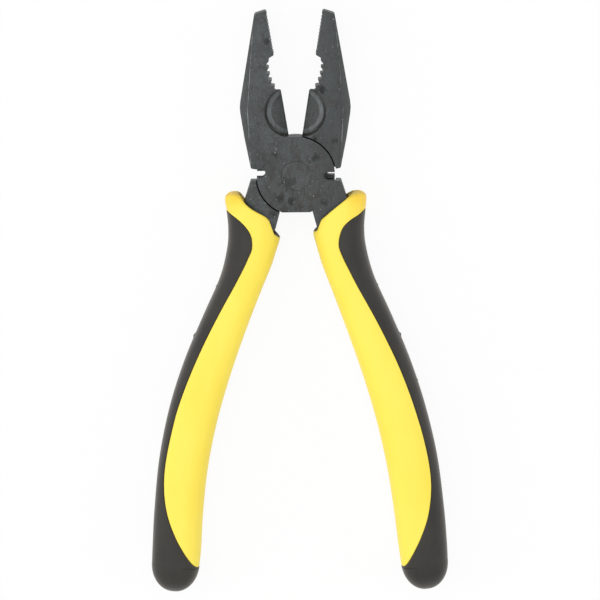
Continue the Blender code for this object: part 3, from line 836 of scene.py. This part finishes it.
# Painted shade: a darker, warmer yellow round a point near each lobe, where the lobe rounds away from the
# light.
YELLOW_LOBE_SHADE = (0.96, 0.66, 0.062)
YELLOW_DUST = (0.42, 0.28, 0.05)
LOBE_SHADE_PLACE = (0.0235, -0.0055, 0.0)
LOBE_SHADE_ENDS = (0.0025, 0.0095)
RUBBER = (0.015, 0.014, 0.012)
RUBBER_WORN = (0.028, 0.0255, 0.0215)
RUBBER_MARK = (0.12, 0.12, 0.11)
# Painted shade: the two dark browns on the set-back gap round the neck, where it lies in shadow.
GAP_SHADE = (0.030, 0.014, 0.004)
GAP_SHADE_PALE = (0.075, 0.040, 0.012)


def dyed_plastic():
    """Satin yellow: two yellows mixed by the flow, a darker, warmer one painted at the lobes as shade, and a
    few specks of dust.
    """
    plastic = Finish("dyed_yellow_plastic")
    flow = plastic.noise(70, 4, 0.55, (1, 0.35, 1))
    dust_and_shade_mottle = plastic.step(plastic.noise(1900, 2, 0.5, shift=(2, 4, 0)), 0.76, 0.80)
    base = plastic.mix(plastic.step(flow, 0.3, 0.7), YELLOW, YELLOW_PALE)
    # Painted shade: the yellow turns darker and warmer near the lobe.
    lobe_shade = 1 - plastic.step(plastic.away_from(plastic.mirrored(), LOBE_SHADE_PLACE), *LOBE_SHADE_ENDS)
    base = plastic.mix(lobe_shade, base, YELLOW_LOBE_SHADE)
    return plastic.done(
        Base_Color=plastic.mix(dust_and_shade_mottle * 0.35, base, YELLOW_DUST),
        Roughness=flow * 0.12 + 0.40,
        Specular_IOR_Level=0.3,
        Normal=plastic.bump(plastic.noise(1400, 3, 0.5), 0.00003, 0.35),
    )


def soft_rubber():
    """Matt black: greyer where the noise says it is worn, with short marks, a fine grain and a warm sheen."""
    rubber = Finish("soft_black_rubber")
    worn = rubber.noise(120, 5, 0.6, (1, 0.6, 1))
    marks = rubber.step(rubber.noise(800, 3, 0.7, (1, 0.4, 1), (5, 5, 1)), 0.70, 0.76)
    base = rubber.mix(rubber.step(worn, 0.3, 0.7), RUBBER, RUBBER_WORN)
    return rubber.done(
        Base_Color=rubber.mix(marks * 0.35, base, RUBBER_MARK),
        Roughness=worn * 0.16 + 0.54,
        Specular_IOR_Level=0.3,
        Sheen_Weight=0.28,
        Sheen_Roughness=0.45,
        Sheen_Tint=(1.0, 0.94, 0.84, 1.0),
        Normal=rubber.bump(rubber.noise(2200, 3, 0.6), 0.00005, 0.6),
    )


def painted_gap_shade():
    """Painted shade for the gap round the neck: two dark browns mixed by noise."""
    gap = Finish("painted_gap_shade")
    # The shade painted in the gap: its two browns mixed by noise.
    dust_and_shade_mottle = gap.noise(900, 4, 0.6)
    return gap.done(Base_Color=gap.mix(dust_and_shade_mottle, GAP_SHADE, GAP_SHADE_PALE), Roughness=dust_and_shade_mottle * 0.2 + 0.6)


yellow_plastic = dyed_plastic()
black_rubber = soft_rubber()
gap_shade = painted_gap_shade()

# %% [markdown]
# ## The black overmould
#
# It is a skin 1.6 mm thick: round the outer side of each section as far as the parting line, then down a
# rounded rim and back along its underside. Past the tip of the yellow tongue the two rims have met, and the
# skin goes all the way round and closes over the butt. Small nubs stand on its outer edge, where the mould
# let air out.

# %% Rows and nubs
OVERMOULD_THICKNESS = 0.0016
RIM_STEPS = np.array([0.0, 0.08, 0.3, 0.62, 1.0])
TOP_COLUMNS = 49
BED_COLUMNS = 33
LEAST_STEP = 0.0004
# Each nub: x and y in the closed plan, how wide it is and how high, where a height below 0 is a pit.
NUBS = {
    "left": ((0.0257, -0.0600, 0.0009, 0.0004), (0.0212, -0.0421, 0.0004, 0.00025)),
    "right": (
        (0.0256, -0.0602, 0.0009, 0.0004),
        (0.0212, -0.0420, 0.0004, 0.00025),
        (0.0290, -0.0768, 0.0004, 0.0002),
        (0.0204, -0.0197, 0.0005, -0.0006),
    ),
}


def grip_rows(start, end, extra):
    """Rows from the line's start to the butt's pole, closer together where the line starts and ends, and at
    each extra place."""
    groups = [
        start + 0.14 * np.linspace(0, 1, 14) ** 2,
        np.arange(start + 0.17, 5.2, 0.04),
        np.arange(5.2, end - 0.5, 0.09),
        np.linspace(end - 0.5, end + 0.04, 32),
        LAST_SECTION + np.linspace(0, 1, 24),
    ]
    rows = np.sort(np.concatenate(groups + [np.linspace(u - 0.06, u + 0.06, 11) for u in extra]))
    rows = rows[rows >= start]
    return rows[np.concatenate([[True], np.diff(rows) > LEAST_STEP])]


def nub_rows(grip, nubs):
    """The u of each nub: the point of the outer edge that is nearest to it."""
    fine = np.linspace(2, LAST_SECTION, 3000)
    outer = through(grip, fine)[:, 0:2]
    return [fine[np.linalg.norm(outer - (x, y), axis=1).argmin()] for x, y, _, _ in nubs]


def nub(points, x, y, width, height):
    """A small round hill on the outer edge: its height times e to the -1.5 times the squared distance, in
    widths, along the grip and up from the middle plane."""
    away = ((points[..., 1] - y) / width) ** 2 + (points[..., 2] / width) ** 2
    on_outer_side = points[..., 0] > x - 0.004
    return np.exp(-away * 1.5) * height * on_outer_side


for side in GRIPS:
    print(side, "nubs are at rows", np.round(nub_rows(GRIPS[side], NUBS[side]), 2))

# %% Overmoulds
def overmould(side):
    """The overmould of one grip. Each row runs over the top, from rim to rim, and back along the bed. Where
    the rims have met, the faces between top and bed are left out, and the two are closed skins."""
    grip, line, nubs = GRIPS[side], PARTINGS[side], NUBS[side]
    start, end = ends_of_line(grip, line, GROOVE / 2)
    rows = grip_rows(start, end, nub_rows(grip, nubs))
    rim = rim_angles(grip, line, rows, GROOVE / 2 + RIM_ROUND * RIM_STEPS)
    rim[0] = 0
    middle = rim[:, -1:] * np.linspace(1, -1, TOP_COLUMNS)[None, 1:-1]
    share, lift = superellipse(np.concatenate([rim, middle, -rim[:, ::-1]], axis=1))
    place = leaning(rows[:, None], share)
    flat = form_point(grip, place, share, lift, 0.0)
    depth = rounding(into_black(flat, line) - GROOVE / 2, RIM_ROUND) - sum(nub(flat, *each) for each in nubs)
    top = form_point(grip, place, share, lift, depth)
    share, lift = superellipse(rim[:, :1] * np.linspace(-1, 1, BED_COLUMNS)[None])
    bed = form_point(grip, leaning(rows[:, None], share), share, lift, OVERMOULD_THICKNESS)
    grid = np.concatenate([top, bed], axis=1)
    closed = rim[:, 0] > math.pi - 1e-4
    kept = np.ones((len(rows) - 1, grid.shape[1]), bool)
    kept[:, [top.shape[1] - 1, grid.shape[1] - 1]] = ~closed[:-1, None]
    mesh = skin(f"{side}_overmould", opened(grid, side), kept, np.zeros_like(kept))
    mesh.materials.append(black_rubber)
    return mesh


settled(overmould("left"), "left_overmould", "back_half", "left_grip_overmould")
settled(overmould("right"), "right_overmould", "front_half", "right_grip_overmould")

# %% [markdown]
# ## The yellow core
#
# The core starts at the mouth round the steel neck, with a rolled lip. It swells into the guard and then
# shows as a long tongue on the inner side, ending in a point near the butt. Under the overmould it lies
# lower, as a bed. So each section runs once round: the bare side at full height, a rounded rim, the bed, and
# the other rim. The mouth slants across the sections, and each column starts where it meets that cut.

# %% Mouths and their lips
MOUTHS_MM = {
    "left": (
        (-2.0, -23.2), (2.2, -22.0), (3.3, -21.3), (4.3, -20.7), (5.0, -19.5), (5.4, -18.2), (6.4, -16.4),
        (8.0, -15.2), (9.4, -14.7), (11.6, -13.9), (13.8, -13.0), (16.2, -11.4), (17.3, -10.1), (18.2, -9.3),
        (19.2, -8.9), (20.6, -8.9), (22.0, -9.4), (23.2, -10.6), (23.9, -12.1), (24.2, -15.0),
    ),
    "right": (
        (-2.0, -21.4), (2.4, -20.3), (3.2, -19.9), (4.0, -19.6), (4.4, -18.5), (4.8, -17.4), (5.9, -16.1),
        (9.4, -13.9), (15.1, -10.7), (17.2, -9.6), (18.7, -8.95), (20.6, -8.9), (22.0, -9.5), (23.0, -10.6),
        (23.7, -12.1), (24.0, -15.0),
    ),
}
MOUTHS = {side: np.array(points) / 1000 for side, points in MOUTHS_MM.items()}
LIP_AT_X = (0.005, 0.009, 0.015, 0.019)
LIP_RADIUS = (0.0003, 0.0007, 0.0007, 0.0012)
LOBE_FROM_X = 0.0165
LOBE_WHOLE_AT_X = 0.0205
LOBE_ROUND = 0.0050
MOUTH_ROWS = np.linspace(0, 2.8, 500)


def mouth_u(grip, mouth, share):
    """The u at which a column, share of the way across, meets the mouth."""
    middle, reach, _, sideways = section_at(grip, MOUTH_ROWS, 0.0)
    plan = middle + (reach * share.reshape(-1, 1))[..., None] * sideways
    above = plan[..., 1] - np.interp(plan[..., 0], mouth[:, 0], mouth[:, 1])
    return crossing(MOUTH_ROWS, above)[0].reshape(share.shape)


def lip(points, mouth):
    """Depth of the mouth's round lip: crisp on the inner flange, rounder at the neck, a full round outside."""
    return rounding(np.abs(into_black(points, mouth)), np.interp(points[..., 0], LIP_AT_X, LIP_RADIUS))


def lobe_sag(points, mouth):
    """How much lower the top is near the end of the domed outer lobe: a longer round, in height alone."""
    outwards = np.clip((points[..., 0] - LOBE_FROM_X) / (LOBE_WHOLE_AT_X - LOBE_FROM_X), 0, 1)
    return rounding(np.abs(into_black(points, mouth)), LOBE_ROUND) * outwards


print({side: len(mouth) for side, mouth in MOUTHS.items()}, "points a mouth")

# %% The body of a core
BED_DEPTH = 0.0019
FIRST_ROW = 2.5
NEAR = 0.001
BARE_COLUMNS = 57


def core_body(grip, line, mouth):
    """The grid from the lip to the butt. Each row runs over the bare side, from rim to rim, and back along the
    bed. A row before the line's start is all bare, and one past its end is all bed, so a pair of rows lies
    close round each end."""
    start, end = ends_of_line(grip, line, -GROOVE / 2)
    rows = [[FIRST_ROW, start - NEAR, end - NEAR, end + NEAR], grip_rows(start + NEAR, end, ())]
    rows = np.sort(np.concatenate(rows))
    rim = rim_angles(grip, line, rows, -GROOVE / 2 - RIM_ROUND * RIM_STEPS)
    rim[rows < start] = 0
    rim[rows > end] = math.pi
    bare = math.pi + (rim[:, -1:] - math.pi) * np.linspace(1, -1, BARE_COLUMNS)[None, 1:-1]
    share, lift = superellipse(np.concatenate([rim, bare, 2 * math.pi - rim[:, ::-1]], axis=1))
    place = leaning(rows[:, None], share)
    flat = form_point(grip, place, share, lift, 0.0)
    depth = np.maximum(rounding(-into_black(flat, line) - GROOVE / 2, RIM_ROUND), lip(flat, mouth))
    depth[rows > end] = BED_DEPTH
    top = form_point(grip, place, share, lift, depth, lobe_sag(flat, mouth))
    share, lift = superellipse(rim[:, :1] * np.linspace(-1, 1, BED_COLUMNS)[None])
    place = leaning(rows[:, None], share)
    under = form_point(grip, place, share, lift, 0.0)
    bed_depth = np.where(rows < start, depth[:, 0], BED_DEPTH)[:, None]
    bed = form_point(grip, place, share, lift, bed_depth, lobe_sag(under, mouth))
    return np.concatenate([top, bed], axis=1)


print("a row has", BARE_COLUMNS - 2 + 2 * len(RIM_STEPS) + BED_COLUMNS, "points")

# %% [markdown]
# The end of a core is a flat face round the neck, drawn as rings from its middle out to the mouth, and then
# as rows along the lip. Beside the neck it is set back, so that a gap shows there, and its faces there are
# painted dark brown as shade.

# %% Cores
CAP_STEPS = np.array([0.0, 0.35, 0.6, 0.8, 0.95, 0.965])
LIP_STEPS = np.array([0, 0.012, 0.04, 0.09, 0.15, 0.22, 0.30, 0.42, 0.56, 0.70, 0.85])
SET_BACK = 0.5
NECK_SHARE = 0.27


def core_end(grip, mouth):
    """The grid from the middle of the flat face to the body's first row, and which columns lie at the neck."""
    bare = np.linspace(0, 2 * math.pi, BARE_COLUMNS)[1:-1]
    rim = np.zeros(len(RIM_STEPS))
    share, lift = superellipse(np.concatenate([rim, bare, rim + 2 * math.pi, np.zeros(BED_COLUMNS)]))
    from_mouth = mouth_u(grip, mouth, share)
    lip_rows = from_mouth + (leaning(FIRST_ROW, share) - from_mouth) * LIP_STEPS[:, None]
    near_lip = form_point(grip, lip_rows, share, lift, 0.0)
    depth, sag = lip(near_lip, mouth), lobe_sag(near_lip, mouth)
    rings = []
    for part in CAP_STEPS:
        within = share * part
        set_back = SET_BACK if part < CAP_STEPS[-1] else 0.0
        set_back = set_back * np.clip((0.5 - within) / 0.2, 0, 1) * np.clip((0.95 + within) / 0.3, 0, 1)
        u = mouth_u(grip, mouth, within) + set_back
        rings.append(form_point(grip, u, within, lift * part, depth[0], sag[0]))
    lip_grid = form_point(grip, lip_rows, share, lift, depth, sag)
    return np.concatenate([np.stack(rings), lip_grid]), share < NECK_SHARE


def core(side):
    """The core of one grip: the grids of its end and of its body as one closed skin, with shade painted in the
    gap.
    """
    grip, line, mouth = GRIPS[side], PARTINGS[side], MOUTHS[side]
    end, at_neck = core_end(grip, mouth)
    grid = np.concatenate([end, core_body(grip, line, mouth)])
    kept = np.ones((len(grid) - 1, grid.shape[1]), bool)
    in_gap = np.zeros_like(kept)
    # The first rows of the end, beside the neck, take the second material: painted shade in the gap.
    in_gap[: len(CAP_STEPS) + 1] = at_neck
    mesh = skin(f"{side}_core", opened(grid, side), kept, in_gap)
    mesh.materials.append(yellow_plastic)
    mesh.materials.append(gap_shade)
    return mesh


settled(core("left"), "left_core", "back_half", "left_grip_core")
settled(core("right"), "right_core", "front_half", "right_grip_core")

# %% [markdown]
# ## Floor and light
#
# The pliers lie on a plain white floor under one very large soft lamp, a little to the left. Two weak lamps at
# the sides and a white room fill the rest. Together they light a level surface at a strength of about 1, so
# that a colour shows as it is written. The camera, and any reflection, sees the floor and the room as plain
# white, with a little of the real shading left in the floor, which keeps the pliers from looking cut out.

# %% What the camera sees, straight or in a reflection
RAYS = ("Is Camera Ray", "Is Glossy Ray", "Is Transmission Ray")


def seen(tree):
    """1 on the camera's own rays and on those that a surface reflects or lets through, and 0 on others."""
    return sum(tree.node("ShaderNodeLightPath", {}, {}, ray) for ray in RAYS)


print("seen by:", *RAYS)

# %% Floor
FLOOR_HEIGHT = -0.0035
FLOOR_HALF = 1.5
FLOOR_GREY = (0.84, 0.84, 0.84)
FLOOR_PALE = (0.87, 0.87, 0.87)
SHADE_SHOWN = 0.07


def seen_white(share_of_shade):
    """White to the eye and to reflections, with a share of the floor's own shading left in."""
    finish = Finish("white_studio_floor")
    white = finish.node("ShaderNodeEmission", {}, {"Color": (1, 1, 1, 1), "Strength": 1.0})
    finish.done(Base_Color=finish.mix(finish.noise(30, 3, 0.5), FLOOR_GREY, FLOOR_PALE), Roughness=0.9)
    shaded = Signal(finish, finish.shader.outputs[0])
    share = finish.node("ShaderNodeMath", {"operation": "MINIMUM"}, {0: seen(finish), 1: 1 - share_of_shade})
    both = finish.node("ShaderNodeMixShader", {}, {0: share, 1: shaded, 2: white})
    finish.fill(finish.tree.nodes["Material Output"], {"Surface": both})
    return finish.material


floor_mesh = bpy.data.meshes.new("floor")
ways = ((-1, -1), (1, -1), (1, 1), (-1, 1))
floor_corners = [(x * FLOOR_HALF, y * FLOOR_HALF, FLOOR_HEIGHT) for x, y in ways]
floor_mesh.from_pydata(floor_corners, [], [(0, 1, 2, 3)])
floor_mesh.materials.append(seen_white(SHADE_SHOWN))
floor = bpy.data.objects.new("floor", floor_mesh)
bpy.context.scene.collection.objects.link(floor)

# %% Lamps
MIDDLE = (0, -0.045, 0)
LAMPS = (
    ("overhead", (-0.45, 0.0, 2.3), 3.2, 38),
    ("left_strip", (-1.4, -0.05, 0.6), 1.0, 6),
    ("right_strip", (1.4, -0.05, 0.6), 1.0, 4.5),
)


def lamp(name, place, size, power):
    """A round area lamp, aimed at the middle of the pliers and unseen by the camera."""
    data = bpy.data.lights.new(name, "AREA")
    data.shape = "DISK"
    data.size = size
    data.energy = power
    made = bpy.data.objects.new(name, data)
    made.location = place
    made.rotation_euler = (Vector(MIDDLE) - Vector(place)).to_track_quat("-Z", "Y").to_euler()
    made.visible_camera = False
    bpy.context.scene.collection.objects.link(made)
    print(name, "is a lamp of", power, "W")


for each in LAMPS:
    lamp(*each)

# %% World
WORLD_LIGHT = 0.5
WORLD_SEEN = 1.0

world = bpy.data.worlds.new("studio")
world.use_nodes = True
bpy.context.scene.world = world
room = Tree(world.node_tree)
strength = {"Value": seen(room), "To Min": WORLD_LIGHT, "To Max": WORLD_SEEN}
strength = room.node("ShaderNodeMapRange", {}, strength)
room.fill(room.tree.nodes["Background"], {"Color": (1, 1, 1, 1), "Strength": strength})
print("world nodes:", len(room.tree.nodes))

bpy.context.scene.view_settings.view_transform = "Standard"
